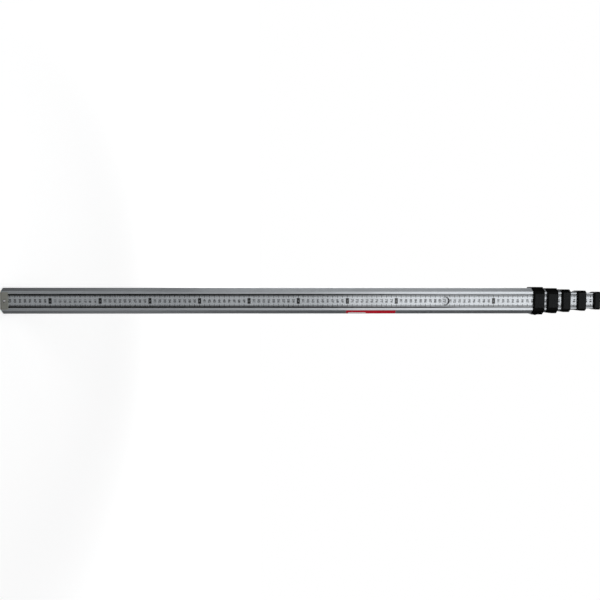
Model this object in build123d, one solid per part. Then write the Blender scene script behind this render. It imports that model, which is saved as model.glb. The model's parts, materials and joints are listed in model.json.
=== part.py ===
from build123d import *
import math
import os

# A five-section telescopic leveling staff, pushed together and standing on its foot.
# Millimetres, +Z up along the staff, origin at the centre of the sole (the scale's zero).
# The millimetre face looks to -Y, the graduated front face to +Y.

# Overall sizes
SECTIONS = 5
CLOSED_HEIGHT = 1227.5        # sole to the top of the cap
TUBE_WIDTH = 52.6             # outer tube, across its narrow sides
TUBE_DEPTH = 32.0             # outer tube, between its two scale faces
TOP_STEPS = [29.5, 27.5, 34.0, 31.5]   # rise from each tube's collar top to the next one

# Tube profile: a flattened octagon with a channel along both wide faces
FLANK_LEG_OUTER = 7.4         # slanted flank, one leg, on the outer tube
FLANK_LEG_INNER = 0.75        # the same on the innermost tube
LAND_OUTER = 4.6              # flat beside the channel on the outer tube
LAND_INNER = 1.95             # the same on the innermost tube
CHANNEL_DEPTH = 0.8
FACE_WALL = 0.9               # wall behind the channel
SIDE_WALL = 1.0               # wall of the narrow sides and flanks
CORNER_RADIUS = 0.6           # outer corners of the profile
SLIDE_GAP = 0.75              # between a tube's face and the cavity it slides in

# Scale strips
STRIP_THICKNESS = 0.5
GROOVE = 2.3                  # open groove between a strip's edge and the land

# Collars and the cap, lowest first
COLLAR_WALL = 2.1
COLLAR_HEIGHT = [23.0, 22.9, 18.3, 18.7, 14.3]
RAMP_RIGHT = [12.6, 12.0, 6.2, 10.0, 4.5]      # ramp up from the lower edge on the +X side
RAMP_LEFT = [0.0, 0.0, 0.0, 4.2, 4.5]          # the same on the -X side
RAMP_EDGE = 0.5               # wall left at a ramp's lower end
PANEL_MARGIN = [5.3, 4.9, 1.2, 0.8, 0.8]       # plain edge beside the raised panel
PANEL_RISE = 0.45
PANEL_BEVEL = 0.35
PANEL_BELOW = 2.8             # plain rim under the panel
PANEL_ABOVE = 1.2             # plain rim over the panel
LIP = 3.0                     # end plate over the tube's mouth
LIP_GAP = 0.25                # between the end plate and the tube that slides through it
COLLAR_RADIUS = 1.0           # upright corners of a collar
RIM_CHAMFER = 0.7             # end edges of a collar
THUMB_RISE = 1.4              # thumb ramp's crest above the lowest collar's side
THUMB_BACK = 3.6              # thumb ramp's short back slope
THUMB_INSET = 0.8             # thumb ramp's edge inside the narrow side's edge

# Guide plugs in the lower ends of the inner tubes
PLUG_FLANGE = 3.0             # shoulder under the tube's end
PLUG_BODY = 30.0              # block inside the tube
PLUG_FIT = 0.1                # between the block and the tube's cavity
RUNNING_GAP = 0.25            # between the shoulder and the cavity it runs in
STOP_GAP = 0.3                # between a shoulder and the plug under it, pushed together

# Lock buttons, their springs and holes
BUTTON_RADIUS = 7.0
BUTTON_HEIGHT = 12.0          # button's middle above the tube's lower end
BUTTON_CLEAR = 0.3            # button in its own tube's hole, and its flange in the bore
BUTTON_FLANGE = 0.6           # flange beyond the button's radius
BUTTON_FLANGE_HEIGHT = 1.2
BUTTON_TIP_GAP = 0.2          # button's tip to the cavity wall that keeps it in
BUTTON_BEVEL = 0.8
BUTTON_PROUD = 0.6            # tip above the outer tube's lands when it has sprung out
BUTTON_STROKE = 1.6           # press from the trapped position
LOCK_CLEAR = 1.2              # lock hole beyond the button's radius
LOCK_BELOW_TOP = [205.0, 99.9, 99.7, 102.6]    # lock holes below the tops of collars 1 to 4
SPRING_THICKNESS = 0.4
SPRING_WIDTH = 8.0
SPRING_HALF_SPAN = 6.0
SPRING_FLAT = 1.7             # room left behind a fully pressed button
SEAT_GAP = 0.05               # spring's crown and feet to what they press on

# Foot
SOLE = 2.0                    # plate under the tube
TAB = 1.5                     # plate on the scale faces
TAB_TOP = 16.8
TAB_MARGIN = 1.4              # plate's edge inside the land's edge
TAB_CORNER = 1.2
BEND_RADIUS = 2.0
FOOT_PLUG_TOP = 14.2
FOOT_RIVET_HEIGHT = 9.5
FOOT_RIVET_HEAD = 3.2
FOOT_RIVET_DOME = 1.5
FOOT_RIVET_SHANK = 2.0
FOOT_RIVET_BITE = 5.0         # length in the plug

# Flush rivets in the narrow sides
RIVET_SHANK = 1.5
RIVET_HEAD = 2.6
RIVET_HEAD_HEIGHT = 0.7
RIVET_BITE = 4.0              # length in a guide plug
RIVET_WALL = 1.5              # between the button's bore and a plug rivet's head
RIVET_FIT = 0.05

# Label on the flank between +X and -Y
LABEL_CENTRE = 748.5
LABEL_LENGTH = 101.0
LABEL_MARGIN = 0.6            # to the flank's edges
LABEL_THICKNESS = 0.15

NEST_STEP = CHANNEL_DEPTH + FACE_WALL + SLIDE_GAP
PLUG_HEIGHT = PLUG_FLANGE + PLUG_BODY
BORE_RADIUS = BUTTON_RADIUS + BUTTON_FLANGE + BUTTON_CLEAR
FLANK_GROWTH = 2 - math.sqrt(2)   # a flank's leg grows by this share of an even offset


class Section:
    """Sizes of one tube, counted from 0 (outermost), and its place when pushed together."""

    def __init__(self, index):
        share = index / (SECTIONS - 1)
        self.index = index
        self.half_width = TUBE_WIDTH / 2 - index * NEST_STEP
        self.half_depth = TUBE_DEPTH / 2 - index * NEST_STEP
        self.leg = FLANK_LEG_OUTER + share * (FLANK_LEG_INNER - FLANK_LEG_OUTER)
        self.flat = self.half_width - self.leg
        self.side_flat = self.half_depth - self.leg
        land = LAND_OUTER + share * (LAND_INNER - LAND_OUTER)
        self.channel = self.flat - land
        self.strip = self.channel - GROOVE
        self.inner_face = self.half_depth - CHANNEL_DEPTH - FACE_WALL
        self.inner_side = self.half_width - SIDE_WALL
        self.top = CLOSED_HEIGHT - sum(TOP_STEPS[index:])
        self.tube_top = self.top - LIP
        if index == 0:
            self.bottom = 0.0
            self.tube_bottom = SOLE
        else:
            self.bottom = FOOT_PLUG_TOP + STOP_GAP + (index - 1) * (PLUG_HEIGHT + STOP_GAP)
            self.tube_bottom = self.bottom + PLUG_FLANGE
        self.button = self.tube_bottom + BUTTON_HEIGHT
        self.collar_edge = self.top - COLLAR_HEIGHT[index]
        self.ramp_top = self.collar_edge + max(RAMP_RIGHT[index], RAMP_LEFT[index])

    def outline(self, grow=0.0):
        return octagon(
            self.half_width + grow, self.half_depth + grow, self.leg + FLANK_GROWTH * grow
        )

    def cavity(self, shrink=0.0):
        flank = self.half_width + self.half_depth - self.leg - math.sqrt(2) * SIDE_WALL
        leg = self.inner_side + self.inner_face - flank - FLANK_GROWTH * shrink
        return octagon(self.inner_side - shrink, self.inner_face - shrink, leg)

    @property
    def lock_height(self):
        return self.top - LOCK_BELOW_TOP[self.index]


def octagon(half_width, half_depth, leg):
    """A rectangle with its corners cut, where the cut is deep enough to show."""
    shape = Rectangle(2 * half_width, 2 * half_depth)
    if leg > 0:
        shape = chamfer(shape.vertices(), leg)
    return shape


def upright(sketch, low, high):
    return Pos(0, 0, low) * extrude(sketch, high - low)


def block(x_range, y_range, z_range):
    sizes = [high - low for low, high in (x_range, y_range, z_range)]
    centre = [(low + high) / 2 for low, high in (x_range, y_range, z_range)]
    return Pos(*centre) * Box(*sizes)


def rod_y(radius, y_low, y_high, height):
    """A round rod along Y on the staff's middle line."""
    return Pos(0, (y_low + y_high) / 2, height) * Rot(90, 0, 0) * Cylinder(radius, y_high - y_low)


def rod_x(radius, x_low, x_high, height):
    """A round rod along X through the staff's middle plane."""
    return Pos((x_low + x_high) / 2, 0, height) * Rot(0, 90, 0) * Cylinder(radius, x_high - x_low)


def both_sides(shape):
    """The shape on +X and its mirror image on -X."""
    return [shape, mirror(shape, about=Plane.YZ)]


def cut(shape, tools):
    for tool in tools:
        shape -= tool
    return shape


def flush_rivet(outer, bite, height, fit=0.0):
    """One rivet in the +X side: head flush with the surface at x = outer."""
    shank = rod_x(RIVET_SHANK + fit, outer - bite, outer, height)
    head = rod_x(RIVET_HEAD + fit, outer - RIVET_HEAD_HEIGHT - fit, outer, height)
    return shank + head


def collar_rivet(section, fit=0.0):
    outer = section.half_width + COLLAR_WALL
    height = (section.ramp_top + section.tube_top) / 2
    return flush_rivet(outer, COLLAR_WALL + SIDE_WALL, height, fit)


def plug_rivet(section, fit=0.0):
    height = section.button + BORE_RADIUS + RIVET_WALL + RIVET_HEAD
    return flush_rivet(section.half_width, SIDE_WALL + RIVET_BITE, height, fit)


def foot_rivet(face, fit=0.0):
    """The rivet through one tab of the foot plate; face is -1 or +1."""
    outer = TUBE_DEPTH / 2 + TAB
    inner = TUBE_DEPTH / 2 - CHANNEL_DEPTH - FACE_WALL - FOOT_RIVET_BITE
    low, high = sorted((face * inner, face * outer))
    return rod_y(FOOT_RIVET_SHANK + fit, low, high, FOOT_RIVET_HEIGHT)


def foot_rivets():
    """Two domed rivets, cut from a sphere that meets the tab at the head's radius."""
    tab_face = TUBE_DEPTH / 2 + TAB
    sphere = (FOOT_RIVET_HEAD**2 + FOOT_RIVET_DOME**2) / (2 * FOOT_RIVET_DOME)
    rivets = []
    for face in (-1, 1):
        ball = Pos(0, face * (tab_face + FOOT_RIVET_DOME - sphere), FOOT_RIVET_HEIGHT) * Sphere(sphere)
        low, high = sorted((face * tab_face, face * (tab_face + FOOT_RIVET_DOME)))
        head = ball & rod_y(FOOT_RIVET_HEAD, low, high, FOOT_RIVET_HEIGHT)
        rivets.append(foot_rivet(face) + head)
    return Compound(children=[rivet.solid() for rivet in rivets])


def tube(section):
    """The extruded tube with its lock hole, its button's hole and its rivet holes."""
    outer = fillet(section.outline().vertices(), CORNER_RADIUS)
    floor = section.half_depth - CHANNEL_DEPTH
    for face in (-1, 1):
        centre = face * (floor + section.half_depth) / 2
        outer -= Pos(0, centre) * Rectangle(2 * section.channel, CHANNEL_DEPTH)
    profile = outer - section.cavity()
    shape = upright(profile, section.tube_bottom, section.tube_top)
    wall = (-section.half_depth, -section.inner_face + CHANNEL_DEPTH)
    holes = both_sides(collar_rivet(section, RIVET_FIT))
    if section.index < SECTIONS - 1:
        holes.append(rod_y(BUTTON_RADIUS + LOCK_CLEAR, *wall, section.lock_height))
    if section.index > 0:
        holes.append(rod_y(BUTTON_RADIUS + BUTTON_CLEAR, *wall, section.button))
        holes += both_sides(plug_rivet(section, RIVET_FIT))
    else:
        holes += [foot_rivet(face, RIVET_FIT) for face in (-1, 1)]
    return cut(shape, holes)


def scale_strip(section, face):
    """A strip in the channel of one face: -1 for the millimetre face, +1 for the front."""
    floor = section.half_depth - CHANNEL_DEPTH
    low, high = sorted((face * floor, face * (floor + STRIP_THICKNESS)))
    start = section.tube_bottom
    if section.index > 0:
        start += PLUG_BODY
    width = (-section.strip, section.strip)
    shape = block(width, (low, high), (start, section.tube_top))
    if section.index == 0:
        shape -= foot_rivet(face, RIVET_FIT)
    if face < 0 and section.index < SECTIONS - 1:
        shape -= rod_y(BUTTON_RADIUS + LOCK_CLEAR, low, high, section.lock_height)
    return shape


def ramp_cut(section, height):
    """What is cut from a collar's +X side to leave a ramp from its thin lower edge to the full wall."""
    outer = section.half_width + COLLAR_WALL
    low = section.collar_edge
    points = [(section.half_width + RAMP_EDGE, low), (outer, low + height), (outer, low)]
    profile = Plane.XZ * make_face(Polyline(*points, close=True))
    return extrude(profile, section.half_depth + COLLAR_WALL, both=True)


def thumb_ramp(section):
    """Wedge on the +X ramp that climbs past the collar's side to a crest and falls back to it."""
    side = section.half_width
    outer = side + COLLAR_WALL
    low = section.collar_edge
    high = low + RAMP_RIGHT[section.index]
    climb = [(side, low), (side + RAMP_EDGE, low), (outer + THUMB_RISE, high - THUMB_BACK)]
    points = climb + [(outer, high), (side, high)]
    profile = Plane.XZ * make_face(Polyline(*points, close=True))
    return extrude(profile, section.side_flat - THUMB_INSET, both=True)


def collar_shell(section):
    """Outer form of a collar: octagon with ramped narrow sides and raised panels."""
    half = section.half_width + COLLAR_WALL
    face = section.half_depth + COLLAR_WALL
    low, top = section.collar_edge, section.top
    outline = fillet(section.outline(COLLAR_WALL).vertices(), COLLAR_RADIUS)
    shell = upright(outline, low, top)
    ends = shell.faces().sort_by(Axis.Z)
    shell = chamfer(ends[0].edges() + ends[-1].edges(), RIM_CHAMFER)
    shell -= ramp_cut(section, RAMP_RIGHT[section.index])
    if RAMP_LEFT[section.index] > 0:
        shell -= mirror(ramp_cut(section, RAMP_LEFT[section.index]), about=Plane.YZ)
    if section.index == 0:
        shell += thumb_ramp(section)
    flat = half - section.leg - FLANK_GROWTH * COLLAR_WALL
    panel_half = flat - PANEL_MARGIN[section.index]
    panel_face = face + PANEL_RISE
    panel = block(
        (-panel_half, panel_half), (-panel_face, panel_face), (low + PANEL_BELOW, top - PANEL_ABOVE)
    )
    panel = chamfer(panel.edges().filter_by(Axis.Y, reverse=True), PANEL_BEVEL)
    return shell + panel


def collar(section):
    """A collar on the tube's mouth; the last one is the closed cap."""
    shape = collar_shell(section)
    shape -= upright(section.outline(), section.collar_edge - COLLAR_WALL, section.tube_top)
    if section.index < SECTIONS - 1:
        inner = Section(section.index + 1)
        shape -= upright(inner.outline(LIP_GAP), section.tube_top, section.top)
    return cut(shape, both_sides(collar_rivet(section, RIVET_FIT)))


def guide_plug(section):
    """Block in the tube's lower end with a running shoulder below it and the button's bore."""
    around = Section(section.index - 1)
    shoulder = upright(around.cavity(RUNNING_GAP), section.bottom, section.tube_bottom)
    body = upright(section.cavity(PLUG_FIT), section.tube_bottom, section.tube_bottom + PLUG_BODY)
    bore = rod_y(BORE_RADIUS, -section.inner_face, bore_floor(section), section.button)
    return cut(shoulder + body, [bore] + both_sides(plug_rivet(section, RIVET_FIT)))


def flange_rest(section):
    """Outer face of the button's flange while the tube around it keeps the button in."""
    spring_out = NEST_STEP - (SLIDE_GAP - BUTTON_TIP_GAP) + BUTTON_PROUD
    return -section.inner_face + spring_out


def bore_floor(section):
    return flange_rest(section) + BUTTON_FLANGE_HEIGHT + BUTTON_STROKE + SPRING_FLAT


def lock_button(section):
    """Round button with a flange behind the tube's wall that keeps it from falling out."""
    tip = -section.half_depth - SLIDE_GAP + BUTTON_TIP_GAP
    seat = flange_rest(section)
    stem = rod_y(BUTTON_RADIUS, tip, seat, section.button)
    stem = chamfer(stem.edges().sort_by(Axis.Y)[0], BUTTON_BEVEL)
    flange = rod_y(
        BUTTON_RADIUS + BUTTON_FLANGE, seat, seat + BUTTON_FLANGE_HEIGHT, section.button
    )
    return stem + flange


def lock_spring(section):
    """Bowed leaf: feet on the bore's floor, crown behind the button's flange."""
    feet = bore_floor(section) - SEAT_GAP
    crown = flange_rest(section) + BUTTON_FLANGE_HEIGHT + SEAT_GAP
    low, high = section.button - SPRING_HALF_SPAN, section.button + SPRING_HALF_SPAN
    inner = SPRING_HALF_SPAN - SPRING_THICKNESS
    outer_bow = ThreePointArc((feet, low), (crown, section.button), (feet, high))
    inner_bow = ThreePointArc(
        (feet, section.button + inner),
        (crown + SPRING_THICKNESS, section.button),
        (feet, section.button - inner),
    )
    ends = [Line(outer_bow @ 1, inner_bow @ 0), Line(inner_bow @ 1, outer_bow @ 0)]
    leaf = make_face([outer_bow, ends[0], inner_bow, ends[1]])
    return extrude(Plane.YZ * leaf, SPRING_WIDTH / 2, both=True)


def foot_plate(section):
    """A strip of sheet steel bent up over both scale faces, with rounded bends."""
    outer = section.half_depth + TAB
    sheet = Pos(0, TAB_TOP / 2) * Rectangle(2 * outer, TAB_TOP)
    sheet = fillet(sheet.vertices().group_by(Axis.Y)[0], BEND_RADIUS)
    sheet -= Pos(0, (SOLE + TAB_TOP) / 2) * Rectangle(2 * section.half_depth, TAB_TOP - SOLE)
    half = section.flat - TAB_MARGIN
    plate = extrude(Plane.YZ * sheet, half, both=True)
    front = Pos(0, TAB_TOP / 2) * Rectangle(2 * half, TAB_TOP)
    front = fillet(front.vertices().group_by(Axis.Y)[-1], TAB_CORNER)
    plate &= extrude(Plane.XZ * front, outer, both=True)
    return cut(plate, [foot_rivet(face, RIVET_FIT) for face in (-1, 1)])


def foot_plug(section):
    body = upright(section.cavity(PLUG_FIT), SOLE, FOOT_PLUG_TOP)
    return cut(body, [foot_rivet(face, RIVET_FIT) for face in (-1, 1)])


def side_label(section):
    """A thin sticker on the flank between the +X side and the millimetre face."""
    width = math.sqrt(2) * section.leg - 2 * (LABEL_MARGIN + CORNER_RADIUS * math.tan(math.pi / 8))
    label = Box(LABEL_THICKNESS, width, LABEL_LENGTH)
    edges = label.edges().filter_by(Axis.X)
    label = fillet(edges, LABEL_MARGIN)
    middle = (section.half_width - section.leg / 2, -(section.half_depth - section.leg / 2))
    lift = LABEL_THICKNESS / 2 / math.sqrt(2)
    return Pos(middle[0] + lift, middle[1] - lift, LABEL_CENTRE) * Rot(0, 0, -45) * label


def pair(shape):
    """A group of two separate solids, one on each narrow side."""
    return Compound(children=[side.solid() for side in both_sides(shape)])


sections = [Section(index) for index in range(SECTIONS)]
nodes = {}
for section in sections:
    number = section.index + 1
    last = number == SECTIONS
    nodes[f"tube_{number}"] = tube(section)
    nodes[f"back_scale_{number}"] = scale_strip(section, -1)
    nodes[f"front_scale_{number}"] = scale_strip(section, 1)
    nodes["top_cap" if last else f"collar_{number}"] = collar(section)
    nodes["cap_rivets" if last else f"collar_rivets_{number}"] = pair(collar_rivet(section))
    if number == 1:
        nodes["foot_plate"] = foot_plate(section)
        nodes["foot_plug"] = foot_plug(section)
        nodes["foot_rivets"] = foot_rivets()
        nodes["side_label"] = side_label(section)
    else:
        nodes[f"guide_plug_{number}"] = guide_plug(section)
        nodes[f"plug_rivets_{number}"] = pair(plug_rivet(section))
        nodes[f"lock_button_{number}"] = lock_button(section)
        nodes[f"lock_spring_{number}"] = lock_spring(section)
        travel = sections[section.index - 1].lock_height - section.button
        print(f"section {number}: travel {travel:.2f} to its lock, button at {section.button:.2f}")

os.makedirs("parts", exist_ok=True)
for name, shape in nodes.items():
    export_step(shape, f"parts/{name}.step")
print(f"{len(nodes)} nodes")
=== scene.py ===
# %% [markdown]
# A leveling staff is a tall ruler that slides together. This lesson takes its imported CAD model, which
# holds every tube, collar and button at its real size, and gives it its looks: the studio, the finish of
# each surface, and the printed scales, which are thin shapes of ink and so become meshes of their own.
# The staff stands on its foot at the origin, +Z up, with the millimetre face towards -Y.

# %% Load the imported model
import json
import math
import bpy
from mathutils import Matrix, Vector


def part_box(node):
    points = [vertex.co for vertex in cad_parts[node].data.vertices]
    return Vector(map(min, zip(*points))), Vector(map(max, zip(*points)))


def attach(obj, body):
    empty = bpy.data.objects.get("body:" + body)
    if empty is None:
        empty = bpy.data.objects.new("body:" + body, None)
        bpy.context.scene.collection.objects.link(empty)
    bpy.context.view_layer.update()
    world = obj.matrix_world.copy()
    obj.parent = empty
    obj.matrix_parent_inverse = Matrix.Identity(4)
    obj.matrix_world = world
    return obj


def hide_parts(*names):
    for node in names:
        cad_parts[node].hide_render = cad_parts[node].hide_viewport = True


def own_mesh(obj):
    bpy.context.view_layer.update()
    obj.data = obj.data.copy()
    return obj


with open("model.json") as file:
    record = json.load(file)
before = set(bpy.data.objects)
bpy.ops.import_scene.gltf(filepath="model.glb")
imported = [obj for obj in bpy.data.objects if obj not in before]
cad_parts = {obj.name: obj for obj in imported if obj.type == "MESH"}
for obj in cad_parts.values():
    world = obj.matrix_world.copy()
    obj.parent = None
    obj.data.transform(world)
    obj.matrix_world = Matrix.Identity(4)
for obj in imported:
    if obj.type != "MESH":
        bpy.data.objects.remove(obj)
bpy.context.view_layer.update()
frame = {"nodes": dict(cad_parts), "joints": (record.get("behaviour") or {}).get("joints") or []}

from types import SimpleNamespace

import bmesh
import bpy
from mathutils import Matrix, Vector

scene = bpy.context.scene
scene.view_settings.view_transform = "Standard"

# %% [markdown]
# Everything that follows is placed by the five tubes, so their sizes are read from the frame once. The
# printed numbers continue from tube to tube on the pulled-out staff, and so each section also needs its
# lift: how far it rises in all when every tube below it is pulled out to its lock.

# %% Read the five sections
MM = 0.001
SECTIONS = 5
travel = {joint["child"]: joint["range_m"][1] for joint in frame["joints"]}


def middle(node):
    low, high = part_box(node)
    return (low + high) / 2


sections = []
lift = 0.0
for number in range(1, SECTIONS + 1):
    body = f"section_{number}"
    collar = f"collar_{number}" if number < SECTIONS else "top_cap"
    lift += travel.get(body, 0.0)
    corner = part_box(f"tube_{number}")[1]
    strip_low, strip_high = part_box(f"back_scale_{number}")
    hole = None
    if number < SECTIONS:
        hole = middle(f"lock_button_{number + 1}").z + travel[f"section_{number + 1}"]
    sections.append(SimpleNamespace(
        number=number, body=body, collar=collar, lift=lift, hole=hole,
        half_depth=corner.y, strip=strip_high.x, surface=-strip_low.y,
        low=strip_low.z, high=strip_high.z,
    ))
# The foot plate's tabs cover the lower ends of the outermost strips, so their print starts above them.
sections[0].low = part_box("foot_plate")[1].z
for section in sections:
    span = f"{section.low:.4f} to {section.high:.4f} m"
    print(section.body, "is printed from", span, "and rises by", round(section.lift, 4), "m")

# %% [markdown]
# The photograph was taken with a wide lens from close by, in front of the millimetre face, with the staff
# lying across the whole picture. The same view of a standing staff needs a camera that is rolled: its
# right is the staff's +Z and its up is -X. Its lens, height and slight turn towards the cap were found by
# matching three places in the picture: the sole, the 600 mm block and the cap's end. One flank shows a
# little wider than the other, so the camera also goes around the staff by a few degrees.

# %% Camera
CAMERA_PLACE = (-0.0012, -0.93, 0.5875)
CAMERA_TURN = math.radians(1.0)
CAMERA_ROUND = math.radians(-2.5)
LENS = 26.98
SENSOR = 36.0

camera_data = bpy.data.cameras.new("photo_camera")
camera_data.sensor_width = SENSOR
camera_data.lens = LENS
camera = bpy.data.objects.new("photo_camera", camera_data)
scene.collection.objects.link(camera)
rolled = Matrix(((0, -1, 0), (0, 0, -1), (1, 0, 0))).to_4x4()
turned = Matrix.Rotation(CAMERA_TURN, 4, "X")
around = Matrix.Rotation(CAMERA_ROUND, 4, "Z")
camera.matrix_world = around @ Matrix.Translation(CAMERA_PLACE) @ turned @ rolled
scene.camera = camera
camera_at = [round(value, 4) for value in camera.matrix_world.translation]
print("camera at", camera_at, "with a", LENS, "mm lens")

# %% [markdown]
# Materials are node trees. A few small helpers keep them readable: add makes a node, maths and
# vector_maths do one step of arithmetic, coordinate takes X, Y or Z out of a vector, ramp turns one range
# of values into another, blend_colours mixes two colours and grey writes one down. An input that is given
# another node's output is linked to it, and any other value is simply set.

# %% Node helpers
def add(tree, kind, inputs=None, **settings):
    made = tree.nodes.new(kind)
    for name, value in settings.items():
        setattr(made, name, value)
    for name, value in (inputs or {}).items():
        if isinstance(value, bpy.types.NodeSocket):
            tree.links.new(value, made.inputs[name])
        else:
            made.inputs[name].default_value = value
    return made


def maths(tree, operation, first, second=0.0, third=0.0, clamp=False):
    inputs = {0: first, 1: second, 2: third}
    return add(tree, "ShaderNodeMath", inputs, operation=operation, use_clamp=clamp).outputs[0]


def vector_maths(tree, operation, first, second=(0, 0, 0)):
    made = add(tree, "ShaderNodeVectorMath", {0: first, 1: second}, operation=operation)
    return made.outputs["Value" if operation == "LENGTH" else "Vector"]


def coordinate(tree, vector, letter):
    return add(tree, "ShaderNodeSeparateXYZ", {0: vector}).outputs[letter]


def ramp(tree, value, low, high, to_low=0.0, to_high=1.0):
    """The value from low to high, smoothly, as to_low to to_high."""
    inputs = {"Value": value, "From Min": low, "From Max": high, "To Min": to_low, "To Max": to_high}
    return add(tree, "ShaderNodeMapRange", inputs, interpolation_type="SMOOTHSTEP").outputs[0]


def blend_colours(tree, factor, first, second):
    made = add(tree, "ShaderNodeMix", {0: factor, 6: first, 7: second}, data_type="RGBA")
    return made.outputs[2]


def grey(level, blue=0.0):
    """A grey as a colour, a little blue where the finish is cool."""
    return (level * (1 - blue), level, level * (1 + blue), 1.0)


helpers = (add, maths, vector_maths, coordinate, ramp, blend_colours, grey)
print("helpers", [helper.__name__ for helper in helpers])

# %% [markdown]
# The studio is a white sweep with soft light from the camera's side. The background is white to the
# camera because the floor and the world glow white along camera rays; rays that only carry light see a
# dim room instead, so nothing washes out the staff. Metal that mirrors the sweep behind the staff sees
# half of that white. Near the staff the floor glows less and relies on the lamps, so it keeps a shadow.

# %% Floor and world
ROOM_LEVEL = 0.11
ROOM_COOL = 0.02
FLOOR_SIZE = 14.0
FLOOR_ALBEDO = 0.66
NEAR_GLOW = 0.66
SHADOW_REACH = (0.5, 1.6)
SWEEP_IN_METAL = 0.5
SWEEP_ON_FLOOR = (0.5, 1.5)
SWEEP_IN_WORLD = (0.4, 0.8)


def background_rays(tree, behind):
    """How white a ray sees the background: fully for the camera, and half in metal facing it."""
    path = add(tree, "ShaderNodeLightPath").outputs
    facing = maths(tree, "MULTIPLY", behind, SWEEP_IN_METAL)
    mirrored = maths(tree, "MULTIPLY", path["Is Glossy Ray"], facing)
    return maths(tree, "ADD", path["Is Camera Ray"], mirrored, clamp=True)


def pale_floor():
    material = bpy.data.materials.new("pale_floor")
    material.use_nodes = True
    tree = material.node_tree
    tree.nodes.clear()
    at = add(tree, "ShaderNodeTexCoord").outputs["Object"]
    behind = ramp(tree, coordinate(tree, at, "Y"), *SWEEP_ON_FLOOR)
    glow = ramp(tree, vector_maths(tree, "LENGTH", at), *SHADOW_REACH, NEAR_GLOW, 1.0)
    strength = maths(tree, "MULTIPLY", glow, background_rays(tree, behind))
    white = add(tree, "ShaderNodeEmission", {"Strength": strength})
    matt = add(tree, "ShaderNodeBsdfDiffuse", {"Color": grey(FLOOR_ALBEDO)})
    both = add(tree, "ShaderNodeAddShader", {0: white.outputs[0], 1: matt.outputs[0]})
    add(tree, "ShaderNodeOutputMaterial", {"Surface": both.outputs[0]})
    return material


def mesh_object(name, bm, *materials):
    """A finished bmesh as an object at the origin."""
    mesh = bpy.data.meshes.new(name)
    bm.to_mesh(mesh)
    bm.free()
    for material in materials:
        mesh.materials.append(material)
    made = bpy.data.objects.new(name, mesh)
    scene.collection.objects.link(made)
    return made


floor_mesh = bmesh.new()
bmesh.ops.create_grid(floor_mesh, x_segments=1, y_segments=1, size=FLOOR_SIZE / 2)
floor = mesh_object("floor", floor_mesh, pale_floor())

world = bpy.data.worlds.new("studio")
scene.world = world
world.use_nodes = True
tree = world.node_tree
tree.nodes.clear()
direction = add(tree, "ShaderNodeTexCoord").outputs["Generated"]
towards_sweep = ramp(tree, coordinate(tree, direction, "Y"), *SWEEP_IN_WORLD)
room = add(tree, "ShaderNodeBackground", {"Color": grey(1.0, ROOM_COOL), "Strength": ROOM_LEVEL})
sweep = add(tree, "ShaderNodeBackground", {"Color": grey(1.0), "Strength": 1.0})
choice = {0: background_rays(tree, towards_sweep), 1: room.outputs[0], 2: sweep.outputs[0]}
chosen = add(tree, "ShaderNodeMixShader", choice)
add(tree, "ShaderNodeOutputWorld", {"Surface": chosen.outputs[0]})
print("floor", FLOOR_SIZE, "m across, room light", ROOM_LEVEL)

# %% [markdown]
# Satin metal shows the lamps as broad reflections, so each softbox is placed where the metal mirrors it.
# In the photograph both lands brighten quickly at two thirds of the staff's height: there begins the
# mirror image of the key light, which stands behind the camera and hangs high. Below it a weaker fill
# keeps the lower half grey. A dim panel at -X lights the upper flank, another at +X the side label, and
# two lamps behind the staff serve its other sides. The four tall lamps stand around the upper tubes of
# the pulled-out staff, which would rise into the dark otherwise.

# %% Softboxes
def softbox(name, place, target, size, watts, spread=180.0):
    lamp = bpy.data.lights.new(name, "AREA")
    lamp.shape = "RECTANGLE"
    lamp.size, lamp.size_y = size
    lamp.energy = watts
    lamp.spread = math.radians(spread)
    made = bpy.data.objects.new(name, lamp)
    made.location = place
    made.rotation_mode = "QUATERNION"
    made.rotation_quaternion = (Vector(target) - Vector(place)).to_track_quat("-Z", "Y")
    scene.collection.objects.link(made)


softbox("key", (-0.3, -1.3, 1.55), (-0.2, 0, 0.8), (1.5, 1.6), 7.6)
softbox("fill", (-0.2, -1.3, 0.42), (-0.2, -0.5, 0.0), (1.5, 0.74), 1.35)
softbox("side", (-1.2, -0.1, 0.95), (0, -0.1, 0.95), (1.0, 1.6), 1.8)
softbox("label_light", (0.9, -0.9, 0.9), (0, 0, 0.75), (1.1, 1.5), 0.85, 80.0)
softbox("behind_left", (-0.9, 1.5, 0.9), (0, 0, 0.85), (1.4, 1.8), 4.5, 80.0)
softbox("behind_right", (1.0, 1.4, 0.9), (0, 0, 0.85), (1.4, 1.8), 2.8, 80.0)
softbox("tall_front", (0, -2.2, 4.8), (0, 0, 3.7), (3.0, 3.0), 16.0, 120.0)
softbox("tall_back", (0, 2.2, 3.6), (0, 0, 3.6), (3.0, 3.6), 22.0, 150.0)
softbox("tall_left", (-1.5, -2.0, 2.7), (0, 0, 2.8), (1.6, 1.8), 5.0, 100.0)
softbox("tall_right", (1.5, -2.0, 2.7), (0, 0, 2.8), (1.6, 1.8), 5.0, 100.0)
print("lamps", [lamp.name for lamp in bpy.data.lights])

# %% [markdown]
# Three effects turn up in more than one finish, so each is a shader node group: the lines that a die or
# a roller leaves along a drawn piece, the dull patches that hands leave, and the fine grain of moulded
# plastic. A group gives only a value that changes over the surface; the shader stays in the material.

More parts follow.
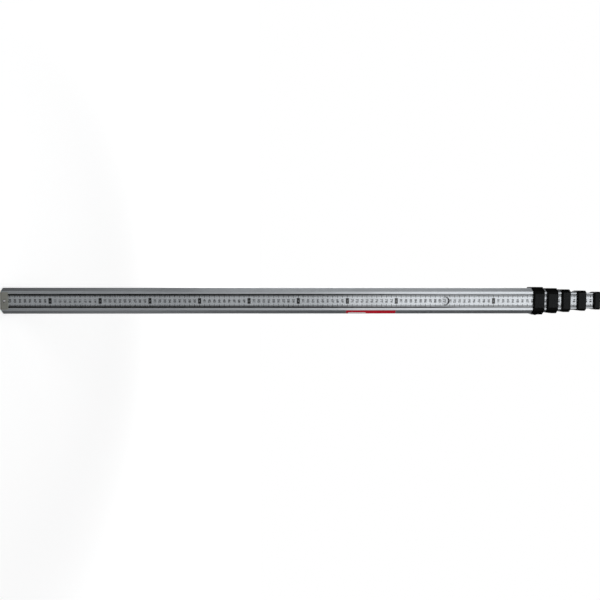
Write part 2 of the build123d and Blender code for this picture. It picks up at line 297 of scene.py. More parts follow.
# %% Shared effects
def effect(name, inputs, output, build):
    """A node group with a Vector and the named number inputs, and one value output."""
    group = bpy.data.node_groups.new(name, "ShaderNodeTree")
    group.interface.new_socket("Vector", in_out="INPUT", socket_type="NodeSocketVector")
    for label, value in inputs.items():
        socket = group.interface.new_socket(label, in_out="INPUT", socket_type="NodeSocketFloat")
        socket.default_value = value
    group.interface.new_socket(output, in_out="OUTPUT", socket_type="NodeSocketFloat")
    start = group.nodes.new("NodeGroupInput")
    end = group.nodes.new("NodeGroupOutput")
    group.links.new(build(group, start.outputs), end.inputs[0])
    return group


def noise(tree, vector, scale, detail=3.0, roughness=0.55):
    inputs = {"Vector": vector, "Scale": scale, "Detail": detail, "Roughness": roughness}
    return add(tree, "ShaderNodeTexNoise", inputs).outputs[0]


def drawn_lines_nodes(tree, given):
    across = given["Lines per metre"]
    along = maths(tree, "DIVIDE", across, given["Stretch"])
    scale = add(tree, "ShaderNodeCombineXYZ", {0: across, 1: across, 2: along}).outputs[0]
    stretched = vector_maths(tree, "MULTIPLY", given["Vector"], scale)
    return ramp(tree, noise(tree, stretched, scale=1.0, detail=4.0), 0.3, 0.7)


def hand_marks_nodes(tree, given):
    broad = noise(tree, given["Vector"], given["Marks per metre"], detail=4.0, roughness=0.6)
    return ramp(tree, broad, 0.45, 0.7)


def moulded_grain_nodes(tree, given):
    fine = noise(tree, given["Vector"], given["Grains per metre"], detail=2.0, roughness=0.5)
    return ramp(tree, fine, 0.35, 0.65)


line_inputs = {"Lines per metre": 900.0, "Stretch": 250.0}
drawn_lines = effect("drawn_lines", line_inputs, "Lines", drawn_lines_nodes)
hand_marks = effect("hand_marks", {"Marks per metre": 9.0}, "Dulled", hand_marks_nodes)
moulded_grain = effect("moulded_grain", {"Grains per metre": 4000.0}, "Height", moulded_grain_nodes)
print("effects", [group.name for group in bpy.data.node_groups])

# %% [markdown]
# Every finish starts in the same way: a new material, whose shader takes the values that are the same all
# over, and Object coordinates, which are metres in the staff's own frame. They stay with the staff when
# it moves and need no unwrapping. Fine relief is left to a Bump node, with its depth in metres.

# %% Start a finish
def use(tree, group, vector, **inputs):
    """The value that a shared effect gives at the vector."""
    made = add(tree, "ShaderNodeGroup", node_tree=group)
    tree.links.new(vector, made.inputs["Vector"])
    for label, value in inputs.items():
        made.inputs[label.replace("_", " ")].default_value = value
    return made.outputs[0]


def finish(name, **constants):
    """A new material: its tree, its Principled shader with the constants set, and Object coordinates."""
    material = bpy.data.materials.new(name)
    material.use_nodes = True
    tree = material.node_tree
    shader = tree.nodes["Principled BSDF"]
    for label, value in constants.items():
        shader.inputs[label.replace("_", " ")].default_value = value
    return material, tree, shader, add(tree, "ShaderNodeTexCoord").outputs["Object"]


def paint(tree, shader, colour, rough):
    """Link what changes over the surface: its colour and its roughness."""
    tree.links.new(colour, shader.inputs["Base Color"])
    tree.links.new(rough, shader.inputs["Roughness"])


def bump(tree, shader, height, depth):
    """Relief of the given depth in metres."""
    made = add(tree, "ShaderNodeBump", {"Height": height, "Distance": depth, "Strength": 1.0})
    tree.links.new(made.outputs[0], shader.inputs["Normal"])


def names(materials):
    return [material.name for material in materials]


print("materials so far", len(bpy.data.materials))

# %% [markdown]
# Painted shade darkens the open grooves beside the scale strips, most of all near the foot, and the
# lock holes' walls and rims. Both are masks by position. A groove lies deeper than the lands beside it,
# and a lock hole is a circle around a line through the staff.

# %% Masks for painted shade
SHADE_DARK = (0.012, 0.0115, 0.011, 1.0)
LAND_CLEAR = 0.35 * MM
GROOVE_REACH = 2.6 * MM
LEFT_SHADE_FADES = (0.6, 1.0)
RIGHT_SHADE_FADES = (0.84, 0.98)
LEAST_GROOVE_SHADE = 0.66
HOLE_RADIUS = 8.2 * MM
HOLE_WALL_SHADE = (0.0, 0.1 * MM)
HOLE_RIM_SHADOW = (0.6 * MM, 0.5 * MM)


def from_axis(tree, at, x, z):
    """Distance from a line along Y."""
    offset = vector_maths(tree, "SUBTRACT", at, (x, 0, z))
    return vector_maths(tree, "LENGTH", vector_maths(tree, "MULTIPLY", offset, (1, 0, 1)))


def lock_hole(tree, at, section, lift, reach):
    """1 on the millimetre face inside the lock hole's circle, raised by lift and widened by reach."""
    inside = maths(tree, "LESS_THAN", from_axis(tree, at, 0, section.hole + lift), HOLE_RADIUS + reach)
    return maths(tree, "MULTIPLY", inside, maths(tree, "LESS_THAN", coordinate(tree, at, "Y"), 0.0))


def groove_shade(tree, at, section):
    """How much painted shade the grooves get: fully at the foot, in patches, and less higher up on either
    side.
    """
    across = coordinate(tree, at, "X")
    deep = maths(tree, "ABSOLUTE", coordinate(tree, at, "Y"))
    height = coordinate(tree, at, "Z")
    below_lands = maths(tree, "LESS_THAN", deep, section.half_depth - LAND_CLEAR)
    near_strip = maths(tree, "LESS_THAN", maths(tree, "ABSOLUTE", across), section.strip + GROOVE_REACH)
    groove = maths(tree, "MULTIPLY", below_lands, near_strip)
    # Painted shade: the +X groove stays shaded higher up the staff than the -X groove.
    right_side = ramp(tree, across, -1 * MM, 1 * MM)
    sides = {0: right_side, 2: ramp(tree, height, *LEFT_SHADE_FADES), 3: ramp(tree, height, *RIGHT_SHADE_FADES)}
    shade_fades = add(tree, "ShaderNodeMix", sides).outputs[0]
    shade_left = ramp(tree, shade_fades, 0.0, 1.0, 1.0, LEAST_GROOVE_SHADE)
    patchy = ramp(tree, noise(tree, at, scale=14.0), 0.2, 0.6, 0.85, 1.0)
    return maths(tree, "MULTIPLY", groove, maths(tree, "MULTIPLY", shade_left, patchy))


print("lock holes at", [round(section.hole, 4) for section in sections if section.hole], "m")

# %% [markdown]
# The tubes are extruded aluminium, anodised to a cool satin silver. The die leaves fine lines along the
# length and hands dull it in patches. The flanks of the outer tube are painted darker near the foot, as
# painted shade. The inner tubes have a darker grey of their own, as painted shade between the collars.

# %% Anodised aluminium
COOL = 0.045
TUBE_GREYS = (0.60, 0.65)
TUBE_WORN = 0.5
INNER_SHADE = 0.7
FACE_CLEAR = 1.0 * MM
FLANK_SHADE_HEIGHT = 0.4
FLANK_SHADE_AMOUNT = 0.62
FLANK_SHADE_GREY = 0.05
MARKS_SEEN = 0.25
TUBE_ROUGH = (0.30, 0.25)
MARKS_ROUGHER = 0.07
SHADE_ROUGH = 0.8
DIE_DEPTH = 0.004 * MM


def anodised_aluminium(section):
    material, tree, shader, at = finish(f"anodised_aluminium_{section.number}", Metallic=1.0)
    # Painted shade darkens the grooves.
    painted_shade = groove_shade(tree, at, section)
    # Painted shade also darkens the lock hole's walls.
    if section.hole:
        painted_shade = maths(tree, "MAXIMUM", painted_shade, lock_hole(tree, at, section, *HOLE_WALL_SHADE))
    lines = use(tree, drawn_lines, at, Lines_per_metre=1400.0, Stretch=300.0)
    marks = use(tree, hand_marks, at, Marks_per_metre=11.0)
    # Painted shade: the inner tubes get a darker grey, for the shade between the collars.
    shade = 1.0 if section.number == 1 else INNER_SHADE
    colour = blend_colours(tree, lines, *[grey(level * shade, COOL) for level in TUBE_GREYS])
    # Painted shade: the outer tube's flanks are darkened towards the foot.
    if section.number == 1:
        deep = maths(tree, "ABSOLUTE", coordinate(tree, at, "Y"))
        flank = maths(tree, "LESS_THAN", deep, section.half_depth - FACE_CLEAR)
        near_foot = ramp(tree, coordinate(tree, at, "Z"), 0.0, FLANK_SHADE_HEIGHT, FLANK_SHADE_AMOUNT, 0.0)
        colour = blend_colours(tree, maths(tree, "MULTIPLY", flank, near_foot), colour, grey(FLANK_SHADE_GREY))
    worn = maths(tree, "MULTIPLY", marks, MARKS_SEEN)
    colour = blend_colours(tree, worn, colour, grey(TUBE_WORN, COOL))
    polish = ramp(tree, lines, 0.0, 1.0, *TUBE_ROUGH)
    dulled = maths(tree, "MULTIPLY_ADD", marks, MARKS_ROUGHER, polish)
    rough = maths(tree, "MAXIMUM", dulled, maths(tree, "MULTIPLY", painted_shade, SHADE_ROUGH))
    paint(tree, shader, blend_colours(tree, painted_shade, colour, SHADE_DARK), rough)
    bump(tree, shader, lines, DIE_DEPTH)
    return material


tube_finishes = [anodised_aluminium(section) for section in sections]
print("tubes", names(tube_finishes))

# %% [markdown]
# The strips of the millimetre face brighten and darken together with the metal lands beside them, so
# they are a pale silver film, darker on the inner tubes as painted shade. The front strips, read from
# afar, are plain white lacquer. Both finishes are a little uneven, like the skin of an orange, grey where
# fingers and sleeves rub them, with painted shade along the edges, most on the outer tube's lower half.

# %% Strip finishes
EDGE_SHADE_WIDTH = 2.2 * MM
EDGE_SHADE_HEIGHTS = (0.45, 0.8)
LEAST_EDGE_SHADE = 0.1
UNEVEN = 0.02
RUBS_SEEN = 0.35
STRIP_ROUGH = (0.26, 0.33)
PEEL_DEPTH = 0.002 * MM
OUTER_FILM = (0.66, 0.9)
INNER_FILM = (0.55, 0.2)
FILM_RUBBED = 0.84
LACQUER = (0.82, 0.25)
LACQUER_RUBBED = (0.70, 0.695, 0.675, 1)


def strip_finish(name, section, clean, edge_shade, wear_and_sheen, **constants):
    """A strip with its clean grey level, the painted shade along its edges and the colour of rubbed
    patches.
    """
    material, tree, shader, at = finish(f"{name}_{section.number}", **constants)
    marks = use(tree, hand_marks, at, Marks_per_metre=16.0)
    greys = [grey(clean * uneven, COOL) for uneven in (1 - UNEVEN, 1 + UNEVEN)]
    colour = blend_colours(tree, noise(tree, at, scale=220.0, detail=2.0), *greys)
    colour = blend_colours(tree, maths(tree, "MULTIPLY", marks, RUBS_SEEN), colour, wear_and_sheen)
    # Painted shade along the strip's edges beside the grooves, strongest low on the staff.
    across = maths(tree, "ABSOLUTE", coordinate(tree, at, "X"))
    near_edge = ramp(tree, across, section.strip - EDGE_SHADE_WIDTH, section.strip)
    near_foot = ramp(tree, coordinate(tree, at, "Z"), *EDGE_SHADE_HEIGHTS, edge_shade, LEAST_EDGE_SHADE)
    colour = blend_colours(tree, maths(tree, "MULTIPLY", near_edge, near_foot), colour, SHADE_DARK)
    # Painted shade on the lock hole's wall, and a painted shadow crescent on the strip at its +Z side.
    if section.hole:
        wall = lock_hole(tree, at, section, *HOLE_WALL_SHADE)
        rim_shadow = lock_hole(tree, at, section, *HOLE_RIM_SHADOW)
        colour = blend_colours(tree, maths(tree, "MAXIMUM", wall, rim_shadow), colour, SHADE_DARK)
    paint(tree, shader, colour, ramp(tree, marks, 0.0, 1.0, *STRIP_ROUGH))
    bump(tree, shader, noise(tree, at, scale=900.0, detail=2.0), PEEL_DEPTH)
    return material


def silver_film(section):
    # Painted shade: the inner strips get a darker grey, for the shade between the collars.
    clean, edge_shade = OUTER_FILM if section.number == 1 else INNER_FILM
    wear_and_sheen = grey(clean * FILM_RUBBED, COOL)
    return strip_finish("silver_film", section, clean, edge_shade, wear_and_sheen, Metallic=0.85)


def white_lacquer(section):
    return strip_finish("white_lacquer", section, *LACQUER, LACQUER_RUBBED, Coat_Weight=0.12)


film_finishes = [silver_film(section) for section in sections]
lacquer_finishes = [white_lacquer(section) for section in sections]
print("strips", names(film_finishes + lacquer_finishes))

# %% [markdown]
# The collars and the cap are black moulded plastic. The raised panels on the wide faces and the upper
# ends were eroded in the mould to a matt grain and scatter more light than the smooth wall around them.
# Panels and ends lie outermost, so a mask by position finds them and one material serves each moulding.

# %% Black mouldings
PANEL_TOP = 0.2 * MM
WALL_GREYS = (0.0015, 0.003)
PANEL_GREYS = (0.014, 0.022)
PANEL_COOL = 0.05
WALL_ROUGH = (0.34, 0.46)
PANEL_ROUGHER = 0.2
GRAIN_DEPTH = 0.012 * MM


def black_moulding(node):
    material, tree, shader, at = finish(f"moulding_{node}", Specular_IOR_Level=0.03)
    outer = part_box(node)[1]
    deep = maths(tree, "ABSOLUTE", coordinate(tree, at, "Y"))
    raised = maths(tree, "GREATER_THAN", deep, outer.y - PANEL_TOP)
    end = maths(tree, "GREATER_THAN", coordinate(tree, at, "Z"), outer.z - PANEL_TOP)
    panel = maths(tree, "MAXIMUM", raised, end)
    grain = use(tree, moulded_grain, at, Grains_per_metre=3200.0)
    marks = use(tree, hand_marks, at, Marks_per_metre=60.0)
    wall = blend_colours(tree, marks, *[grey(level) for level in WALL_GREYS])
    face = blend_colours(tree, grain, *[grey(level, PANEL_COOL) for level in PANEL_GREYS])
    smooth = ramp(tree, marks, 0.0, 1.0, *WALL_ROUGH)
    rough = maths(tree, "MULTIPLY_ADD", panel, PANEL_ROUGHER, smooth)
    paint(tree, shader, blend_colours(tree, panel, wall, face), rough)
    bump(tree, shader, grain, GRAIN_DEPTH)
    return material


moulding_finishes = [black_moulding(section.collar) for section in sections]
print("mouldings", names(moulding_finishes))

# %% [markdown]
# The foot is sheet steel with a greenish grey zinc coat. The coat has a band of painted shade along the
# bend and is rubbed bright, with a painted reflection, where the sole meets the ground; both are bands of
# height. Each foot rivet has a ring of painted shade around a bright middle, a little off centre, which so
# reads as a painted highlight. The other rivets are bright aluminium.

# %% Steel and rivets
ZINC_COAT = ((0.40, 0.40, 0.355, 1), (0.52, 0.52, 0.475, 1))
ZINC_ROUGH = (0.42, 0.62)
COAT_DEPTH = 0.008 * MM
BEND_HEIGHT = 3.2 * MM
BEND_REACH = (0.9 * MM, 0.3 * MM)
BEND_SHADE_GREY = 0.12
BEND_SHADE_SEEN = 0.45
SOLE_REACH = (2.9 * MM, 2.2 * MM)
SOLE_SHEEN_GREY = 0.72
RIVET_HEIGHT = middle("foot_rivets").z
RIVET_GREYS = (0.74, 0.86)
RIVET_ROUGH = (0.2, 0.34)
RING_REACH = (1.5 * MM, 2.7 * MM)
RING_OFFSET = 0.4 * MM
RING_SHADE = 0.85
LINES_ROUGHER = 0.14


def zinc_steel():
    material, tree, shader, at = finish("zinc_steel", Metallic=0.9)
    height = coordinate(tree, at, "Z")
    cloudy = noise(tree, at, scale=260.0, detail=4.0, roughness=0.65)
    coat = blend_colours(tree, cloudy, *ZINC_COAT)
    from_bend = maths(tree, "ABSOLUTE", maths(tree, "SUBTRACT", height, BEND_HEIGHT))
    # Painted shade: a dark band along the bend.
    bend_shade = maths(tree, "MULTIPLY", ramp(tree, from_bend, *BEND_REACH), BEND_SHADE_SEEN)
    bend_shaded = blend_colours(tree, bend_shade, coat, grey(BEND_SHADE_GREY))
    # Rub wear and a painted reflection: the coat is brighter near the sole.
    wear_and_sheen = maths(tree, "MULTIPLY", ramp(tree, height, *SOLE_REACH), ramp(tree, cloudy, 0.2, 0.5))
    colour = blend_colours(tree, wear_and_sheen, bend_shaded, grey(SOLE_SHEEN_GREY))
    paint(tree, shader, colour, ramp(tree, cloudy, 0.2, 0.8, *ZINC_ROUGH))
    bump(tree, shader, noise(tree, at, scale=1500.0), COAT_DEPTH)
    return material


def foot_rivet_metal():
    material, tree, shader, at = finish("foot_rivet", Metallic=1.0)
    # Painted shade: a dark ring set off centre, which leaves a painted highlight on the dome.
    from_middle = from_axis(tree, at, -RING_OFFSET, RIVET_HEIGHT + RING_OFFSET)
    painted_shade = maths(tree, "MULTIPLY", ramp(tree, from_middle, *RING_REACH), RING_SHADE)
    scuffs = noise(tree, at, scale=900.0)
    bright = blend_colours(tree, scuffs, *[grey(level) for level in RIVET_GREYS])
    colour = blend_colours(tree, painted_shade, bright, SHADE_DARK)
    paint(tree, shader, colour, ramp(tree, scuffs, 0.2, 0.8, *RIVET_ROUGH))
    return material


def drawn_metal(name, dark, bright, rough):
    material, tree, shader, at = finish(name, Metallic=1.0)
    lines = use(tree, drawn_lines, at, Lines_per_metre=5000.0, Stretch=6.0)
    colour = blend_colours(tree, lines, dark, bright)
    paint(tree, shader, colour, ramp(tree, lines, 0.0, 1.0, rough, rough + LINES_ROUGHER))
    return material


foot_steel = zinc_steel()
foot_rivet = foot_rivet_metal()
rivet_metal = drawn_metal("bright_rivet", grey(0.62), grey(0.74), rough=0.26)
print("metals", names([foot_steel, foot_rivet, rivet_metal]))

# %% [markdown]
# The plugs in the tubes' ends and the lock buttons are dark nylon with a fine moulded grain. The side
# label is red vinyl with a white field. Vinyl that has lain on a flank for years is never one even red:
# it has faded patches and a slightly wavy gloss.

# %% Nylon and vinyl
NYLON_ROUGH = (0.42, 0.58)
FRESH_RED = (0.64, 0.002, 0.018, 1)
FADED_RED = (0.72, 0.006, 0.028, 1)
RED_ROUGH = (0.28, 0.4)
WHITE_GREYS = (0.86, 0.78)
WHITE_ROUGH = (0.3, 0.42)
WAVE_DEPTH = 0.01 * MM


def nylon(name, dark, light):
    material, tree, shader, at = finish(name)
    grain = use(tree, moulded_grain, at, Grains_per_metre=2500.0)
    colour = blend_colours(tree, grain, grey(dark), grey(light))
    paint(tree, shader, colour, ramp(tree, grain, 0.0, 1.0, *NYLON_ROUGH))
    return material


def red_vinyl():
    material, tree, shader, at = finish("red_vinyl", Coat_Weight=0.1)
    fading_and_sheen = use(tree, hand_marks, at, Marks_per_metre=45.0)
    colour = blend_colours(tree, fading_and_sheen, FRESH_RED, FADED_RED)
    paint(tree, shader, colour, ramp(tree, fading_and_sheen, 0.0, 1.0, *RED_ROUGH))
    bump(tree, shader, noise(tree, at, scale=350.0, detail=2.0), WAVE_DEPTH)
    return material


def white_vinyl():
    material, tree, shader, at = finish("white_vinyl", Coat_Weight=0.1)
    fading_and_sheen = use(tree, hand_marks, at, Marks_per_metre=60.0)
    colour = blend_colours(tree, fading_and_sheen, *[grey(level) for level in WHITE_GREYS])
    paint(tree, shader, colour, ramp(tree, fading_and_sheen, 0.0, 1.0, *WHITE_ROUGH))
    return material


plug_nylon = nylon("plug_nylon", dark=0.035, light=0.055)
button_nylon = nylon("button_nylon", dark=0.022, light=0.034)
label_red = red_vinyl()
label_white = white_vinyl()
print("plastics", names([plug_nylon, button_nylon, label_red, label_white]))

# %% [markdown]
# Each CAD node now gets its finish through its material slots. The mesh stays as it is.

# %% Finish every CAD node
def dress(node, material):
    slots = frame["nodes"][node].data.materials
    slots.clear()
    slots.append(material)


for index, section in enumerate(sections):
    number = section.number
    dress(f"tube_{number}", tube_finishes[index])
    dress(f"back_scale_{number}", film_finishes[index])
    dress(f"front_scale_{number}", lacquer_finishes[index])
    dress(section.collar, moulding_finishes[index])
    dress(f"collar_rivets_{number}" if number < SECTIONS else "cap_rivets", rivet_metal)
    if number > 1:
        dress(f"guide_plug_{number}", plug_nylon)
        dress(f"plug_rivets_{number}", rivet_metal)
        dress(f"lock_button_{number}", button_nylon)
dress("foot_plate", foot_steel)
dress("foot_rivets", foot_rivet)
dress("foot_plug", plug_nylon)
dress("side_label", label_red)
print("finishes", len(bpy.data.materials))

# %% [markdown]
# Behind each lock button sits a bowed leaf spring of blued steel, which is pressed flat when the button
# goes in. The leaf is made again as a piece of its own, in place of the imported CAD node. Its bow is a
# spin: one short edge, as long as the leaf is wide, is swept around the bow's centre and the sheet then
# thickened. The sweep goes a little too far, and both ends are cut off flat where they stand on the floor
# of the bore.

# %% Leaf springs
LEAF_THICKNESS = 0.4 * MM
LEAF_STEPS = 20
LEAF_EXCESS = math.radians(6)
BLUE_STEEL = 0.12
spring_steel = drawn_metal("blued_spring", grey(0.14, BLUE_STEEL), grey(0.22, BLUE_STEEL), rough=0.3)


def leaf_spring(section):
    node = f"lock_spring_{section.number}"
    low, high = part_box(node)
    half_span = (high.z - low.z) / 2
    rise = high.y - low.y
    radius = (half_span ** 2 + rise ** 2) / (2 * rise)
    centre = Vector((0, low.y + radius, (low.z + high.z) / 2))
    reach = math.asin(half_span / radius) + LEAF_EXCESS
    bm = bmesh.new()
    corners = [bm.verts.new((x, low.y, centre.z)) for x in (low.x, high.x)]
    edge = bm.edges.new(corners)
    turn = Matrix.Rotation(-reach, 3, "X")
    bmesh.ops.rotate(bm, verts=corners, cent=centre, matrix=turn)
    bmesh.ops.spin(
        bm, geom=[*corners, edge], cent=centre, axis=(1, 0, 0), angle=2 * reach, steps=LEAF_STEPS,
        use_merge=False,
    )
    bmesh.ops.recalc_face_normals(bm, faces=bm.faces)
    bmesh.ops.solidify(bm, geom=bm.faces[:], thickness=LEAF_THICKNESS)
    parts = bm.verts[:] + bm.edges[:] + bm.faces[:]
    bmesh.ops.bisect_plane(bm, geom=parts, plane_co=high, plane_no=(0, 1, 0), clear_outer=True)
    bmesh.ops.holes_fill(bm, edges=bm.edges[:])
    bmesh.ops.recalc_face_normals(bm, faces=bm.faces)
    piece = mesh_object(f"leaf_spring_{section.number}", bm, spring_steel)
    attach(piece, section.body)
    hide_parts(node)
    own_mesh(piece)
    return piece


for section in sections[1:]:
    piece = leaf_spring(section)
    print(piece.name, [round(size / MM, 2) for size in piece.dimensions], "mm")

# %% [markdown]
# A white field is printed along the label's outer edge. It is a thin plate of its own on the red vinyl:
# a grid of one face is moved out from the label's middle line, given its thickness, and then turned to
# the flank and put in its place.

# %% White field on the label
FIELD_LENGTH = 36.0 * MM
FIELD_WIDTH = 2.9 * MM
FIELD_FROM_END = 4.0 * MM
FIELD_FROM_EDGE = 0.3 * MM
FIELD_THICKNESS = 0.05 * MM
LABEL_THICKNESS = 0.15 * MM


def white_field():
    low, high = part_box("side_label")
    label_width = (high.x - low.x) * math.sqrt(2) - LABEL_THICKNESS
    outwards = (label_width - FIELD_WIDTH) / 2 - FIELD_FROM_EDGE
    along = low.z + FIELD_FROM_END + FIELD_LENGTH / 2
    bm = bmesh.new()
    bmesh.ops.create_grid(bm, x_segments=1, y_segments=1, size=0.5)
    bmesh.ops.scale(bm, verts=bm.verts, vec=(FIELD_WIDTH, FIELD_LENGTH, 1))
    bmesh.ops.translate(bm, verts=bm.verts, vec=(outwards, 0, LABEL_THICKNESS / 2))
    raised = bmesh.ops.extrude_face_region(bm, geom=bm.faces[:])["geom"]
    tops = [part for part in raised if isinstance(part, bmesh.types.BMVert)]
    bmesh.ops.translate(bm, verts=tops, vec=(0, 0, FIELD_THICKNESS))
    upright = Matrix(((1, 0, 0), (0, 0, -1), (0, 1, 0))).to_4x4()
    place = Matrix.Translation(((low.x + high.x) / 2, (low.y + high.y) / 2, along))
    bmesh.ops.transform(bm, matrix=place @ Matrix.Rotation(math.pi / 4, 4, "Z") @ upright, verts=bm.verts)
    bmesh.ops.recalc_face_normals(bm, faces=bm.faces)
    piece = mesh_object("label_white_field", bm, label_white)
    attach(piece, "section_1")
    return piece


print("white field", [round(size / MM, 2) for size in white_field().dimensions], "mm")

# %% [markdown]
# Four inks print the scales. The millimetre face has a glossy black of its own, painted paler above the
# middle of the closed staff as a painted sheen, and silver digits on its black blocks. The front face is
# black and red. All are thin and dull in spots, as ink gets when sleeves rub it for years.

# %% Inks
INK = 0.05 * MM
BLACK, TAPE_BLACK, SILVER, RED = range(4)
GLOSSY = (0.14, 0.26)
MATT = (0.38, 0.55)
SHEEN_HEIGHTS = (0.62, 0.80)
THICK_RED = (0.55, 0.012, 0.014, 1)
THIN_RED = (0.62, 0.035, 0.03, 1)


def ink(name, thick, thin, rough, fading_and_sheen=None, **constants):
    """Ink with thin spots, and with the paler colour of a painted sheen towards the top, if it has one."""
    material, tree, shader, at = finish(name, **constants)
    worn = noise(tree, at, scale=700.0, detail=4.0, roughness=0.7)
    colour = blend_colours(tree, ramp(tree, worn, 0.45, 0.75), thick, thin)
    if fading_and_sheen:
        # Painted sheen: the ink is paler above these heights.
        high_up = ramp(tree, coordinate(tree, at, "Z"), *SHEEN_HEIGHTS)
        colour = blend_colours(tree, high_up, colour, fading_and_sheen)
    paint(tree, shader, colour, ramp(tree, worn, 0.2, 0.8, *rough))
    return material


inks = [
    ink("black_ink", grey(0.003), grey(0.008), GLOSSY, Specular_IOR_Level=0.35),
    ink("tape_ink", grey(0.002), grey(0.005), GLOSSY, fading_and_sheen=grey(0.06), Specular_IOR_Level=0.35),
    ink("silver_ink", grey(0.46, COOL), grey(0.40, COOL), MATT, Metallic=0.85),
    ink("red_ink", THICK_RED, THIN_RED, MATT, Specular_IOR_Level=0.2),
]
print("inks", names(inks))

# %% [markdown]
# Numerals start from the outlines of Blender's own font. Hundreds are needed, so each digit is made once,
# at a low resolution, and copied. A bold digit is a widened outline, but only up to a point: widened
# further, the 9 breaks up.

# %% Numerals
BOLD_WEIGHT = 0.062
FINE_WEIGHT = 0.0
LARGE_WEIGHT = 0.05
SAME_POINT = 1e-5
SLIVER = 1e-4
SHORT_EDGE = 1e-3
STRAIGHT = math.radians(1)


def flat_numeral(character, resolution, weight):
    """One numeral as a flat mesh of height 1, standing on its base line and centred on u = 0."""
    text = bpy.data.curves.new("numeral", "FONT")
    text.body = character
    text.resolution_u = resolution
    text.offset = weight
    holder = bpy.data.objects.new("numeral", text)
    scene.collection.objects.link(holder)
    graph = bpy.context.evaluated_depsgraph_get()
    mesh = bpy.data.meshes.new_from_object(holder.evaluated_get(graph))
    bpy.data.objects.remove(holder)
    bm = bmesh.new()
    bm.from_mesh(mesh)
    bmesh.ops.remove_doubles(bm, verts=bm.verts, dist=SAME_POINT)
    bmesh.ops.dissolve_degenerate(bm, dist=SLIVER, edges=bm.edges)
    bmesh.ops.dissolve_limit(bm, angle_limit=STRAIGHT, verts=bm.verts, edges=bm.edges)
    bmesh.ops.dissolve_degenerate(bm, dist=SHORT_EDGE, edges=bm.edges)
    low = Vector([min(vert.co[axis] for vert in bm.verts) for axis in range(2)])
    high = Vector([max(vert.co[axis] for vert in bm.verts) for axis in range(2)])
    shift = Vector((-(low.x + high.x) / 2, -low.y, 0))
    bmesh.ops.translate(bm, verts=bm.verts, vec=shift)
    bmesh.ops.scale(bm, verts=bm.verts, vec=(1 / (high.y - low.y),) * 2 + (1,))
    for face in bm.faces:
        if face.normal.z < 0:
            face.normal_flip()
    bm.to_mesh(mesh)
    bm.free()
    return mesh


def numerals(resolution, weight):
    return {character: flat_numeral(character, resolution, weight) for character in "0123456789"}


bold_numerals = numerals(2, BOLD_WEIGHT)
fine_numerals = numerals(2, FINE_WEIGHT)
large_numerals = numerals(3, LARGE_WEIGHT)
print("faces of a bold 8:", len(bold_numerals["8"].polygons))

# %% [markdown]
# Printing ink is a skin a few hundredths of a millimetre thick. Drawing it as an image would blur over a
# metre of strip, so it is made as geometry: every mark is first drawn flat, in the strip's own
# coordinates (u to the right, v up the staff), and the whole drawing is then extruded once by the ink's
# thickness. What lies on other ink is drawn one level higher.

# %% Drawing a print
# The width that a digit of height 1 takes up in a row.
NUMERAL_PITCH = 0.86


class Drawing:
    """Marks on one strip, drawn flat and extruded at the end."""

    def __init__(self):
        self.bm = bmesh.new()

    def mark(self, outline, colour):
        verts = [self.bm.verts.new((u, v, 0)) for u, v in outline]
        self.bm.faces.new(verts).material_index = colour

    def bar(self, u, v, width, height, colour):
        """A bar by its lower left corner and size."""
        self.mark([(u, v), (u + width, v), (u + width, v + height), (u, v + height)], colour)

    def number(self, digits, font, u, v, width, height, colour, level=0):
        """Digits in a row, each in its share of the width, centred on u with their base on v."""
        share = width / len(digits)
        for index, digit in enumerate(digits):
            place = Vector((u + (index + 0.5 - len(digits) / 2) * share, v, level * INK))
            shape = font[digit].copy()
            sizes = (share / NUMERAL_PITCH, height, 1, 1)
            shape.transform(Matrix.Translation(place) @ Matrix.Diagonal(sizes))
            old = len(self.bm.faces)
            self.bm.from_mesh(shape)
            bpy.data.meshes.remove(shape)
            self.bm.faces.ensure_lookup_table()
            for face in self.bm.faces[old:]:
                face.material_index = colour

    def trim(self, low, high):
        """Cut off what reaches past the strip's ends."""
        for v, outwards in ((low, -1), (high, 1)):
            parts = self.bm.verts[:] + self.bm.edges[:] + self.bm.faces[:]
            bmesh.ops.bisect_plane(
                self.bm, geom=parts, plane_co=(0, v, 0), plane_no=(0, outwards, 0), clear_outer=True
            )

    def print_on(self, name, section, side):
        """Extrude the drawing and lay it on the section's strip: side -1 is the millimetre face."""
        bm = self.bm
        raised = bmesh.ops.extrude_face_region(bm, geom=bm.faces[:])["geom"]
        tops = [part for part in raised if isinstance(part, bmesh.types.BMVert)]
        bmesh.ops.translate(bm, verts=tops, vec=(0, 0, INK))
        lay = Matrix(((-side, 0, 0), (0, 0, side), (0, 1, 0))).to_4x4()
        lay.translation = Vector((0, side * section.surface, 0))
        bmesh.ops.transform(bm, matrix=lay, verts=bm.verts)
        bmesh.ops.recalc_face_normals(bm, faces=bm.faces)
        piece = mesh_object(name, bm, *inks)
        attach(piece, section.body)
        return piece


print("ink", INK / MM, "mm thick")

# %% [markdown]
# The millimetre face reads like a tape: a tick every millimetre along both edges, longer at 5 and 10,
# a two-digit centimetre number in the middle and a black block with silver digits at each decimetre. The
# lock holes go through the strip, so marks that would fall into a hole are left out, moved or cut short.

# %% Millimetre scales
CENTIMETRE = 10 * MM
TICKS = {10: (5.3 * MM, 1.0 * MM), 5: (4.0 * MM, 0.6 * MM), 1: (3.0 * MM, 0.6 * MM)}
EDGE_CLEAR = 0.15 * MM
CENTIMETRE_NUMBER = (7.6 * MM, 5.4 * MM)
BLOCK = (11.4 * MM, 6.2 * MM)
BLOCK_NUMBER = (5.2 * MM, 2.2 * MM)
LONGEST_SHIFT = 1.2 * MM


def hole_half_width(section, v):
    """Half the lock hole's width at height v, or 0 beside it."""
    if section.hole is None:
        return 0.0
    return math.sqrt(max(0.0, (HOLE_RADIUS + EDGE_CLEAR) ** 2 - (v - section.hole) ** 2))


def tick(millimetre):
    """Length and thickness of the tick at a millimetre."""
    return next(size for step, size in TICKS.items() if millimetre % step == 0)


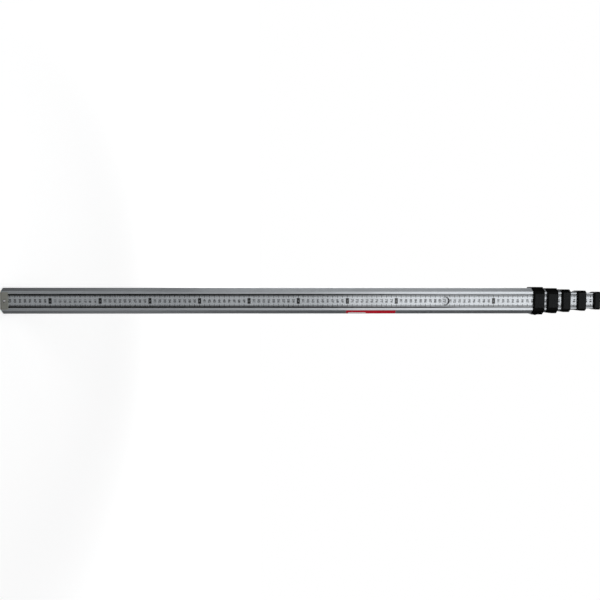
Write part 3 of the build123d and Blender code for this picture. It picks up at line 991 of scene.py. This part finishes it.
def beside_hole(section, v, height):
    """Where a number of this height that belongs at v is printed: v, or just clear of the lock hole."""
    if section.hole is None:
        return v
    clear = HOLE_RADIUS + EDGE_CLEAR + height / 2
    short = clear - abs(v - section.hole)
    return v + math.copysign(max(short, 0.0), v - section.hole)


def millimetre_scale(section):
    drawing = Drawing()
    first = math.ceil((section.low + section.lift) / MM) + 1
    last = math.floor((section.high + section.lift) / MM)
    edge = section.strip - EDGE_CLEAR
    for millimetre in range(first, last):
        v = millimetre * MM - section.lift
        length, thickness = tick(millimetre)
        length = min(length, edge - hole_half_width(section, v))
        drawing.bar(-edge, v - thickness / 2, length, thickness, TAPE_BLACK)
        drawing.bar(edge - length, v - thickness / 2, length, thickness, TAPE_BLACK)
    for centimetre in range(first // 10 + 1, last // 10 + 1):
        v = centimetre * CENTIMETRE - section.lift
        digits = f"{centimetre % 100:02d}"
        size = BLOCK if centimetre % 10 == 0 else CENTIMETRE_NUMBER
        shifted = beside_hole(section, v, size[1])
        low, high = shifted - size[1] / 2, shifted + size[1] / 2
        if abs(shifted - v) > LONGEST_SHIFT or low < section.low or high > section.high:
            continue
        if centimetre % 10 == 0:
            drawing.bar(-size[0] / 2, low, *size, TAPE_BLACK)
            base = shifted - BLOCK_NUMBER[1] / 2
            drawing.number(digits, fine_numerals, 0, base, *BLOCK_NUMBER, SILVER, level=1)
        else:
            drawing.number(digits, bold_numerals, 0, low, *size, TAPE_BLACK)
    return drawing.print_on(f"millimetre_print_{section.number}", section, -1)


for section in sections:
    piece = millimetre_scale(section)
    print(piece.name, len(piece.data.polygons), "faces")

# %% [markdown]
# The front face is read through a level from far away, so it carries the common E pattern: in every
# decimetre one E opens to the right and a mirrored one to the left, each of five centimetres, with the
# decimetre's number beside it. Metres alternate between black and red.

# %% E graduation on the front
DECIMETRE = 10 * CENTIMETRE
E_STEPS = 5
BAR_WIDTH = 10.2 * MM
SPINE_WIDTH = 3.2 * MM
DECIMETRE_NUMBER = (10.0 * MM, 17.0 * MM)
NUMBER_LIFT = 5.0 * MM


def e_mark(drawing, section, v, hand, colour):
    """Half a decimetre of pattern from v up: its spine at the left edge (hand -1) or the right (hand 1)."""
    edge = hand * (section.strip - EDGE_CLEAR)
    inner = edge - hand * SPINE_WIDTH
    tip = edge - hand * BAR_WIDTH
    outline = [(edge, v)]
    for step in range(E_STEPS):
        end = inner if step % 2 else tip
        outline += [(end, v + step * CENTIMETRE), (end, v + (step + 1) * CENTIMETRE)]
    drawing.mark(outline + [(edge, v + E_STEPS * CENTIMETRE)], colour)


def e_graduation(section):
    drawing = Drawing()
    first = math.floor((section.low + section.lift) / DECIMETRE)
    last = math.ceil((section.high + section.lift) / DECIMETRE)
    for decimetre in range(first, last):
        v = decimetre * DECIMETRE - section.lift
        colour = RED if decimetre // 10 % 2 else BLACK
        e_mark(drawing, section, v, -1, colour)
        e_mark(drawing, section, v + E_STEPS * CENTIMETRE, 1, colour)
        base = v + NUMBER_LIFT
        if base > section.low and base + DECIMETRE_NUMBER[1] < section.high:
            across = (section.strip - EDGE_CLEAR) / 2
            drawing.number(f"{decimetre:02d}", large_numerals, across, base, *DECIMETRE_NUMBER, colour)
    drawing.trim(section.low, section.high)
    return drawing.print_on(f"front_print_{section.number}", section, 1)


for section in sections:
    piece = e_graduation(section)
    print(piece.name, len(piece.data.polygons), "faces")
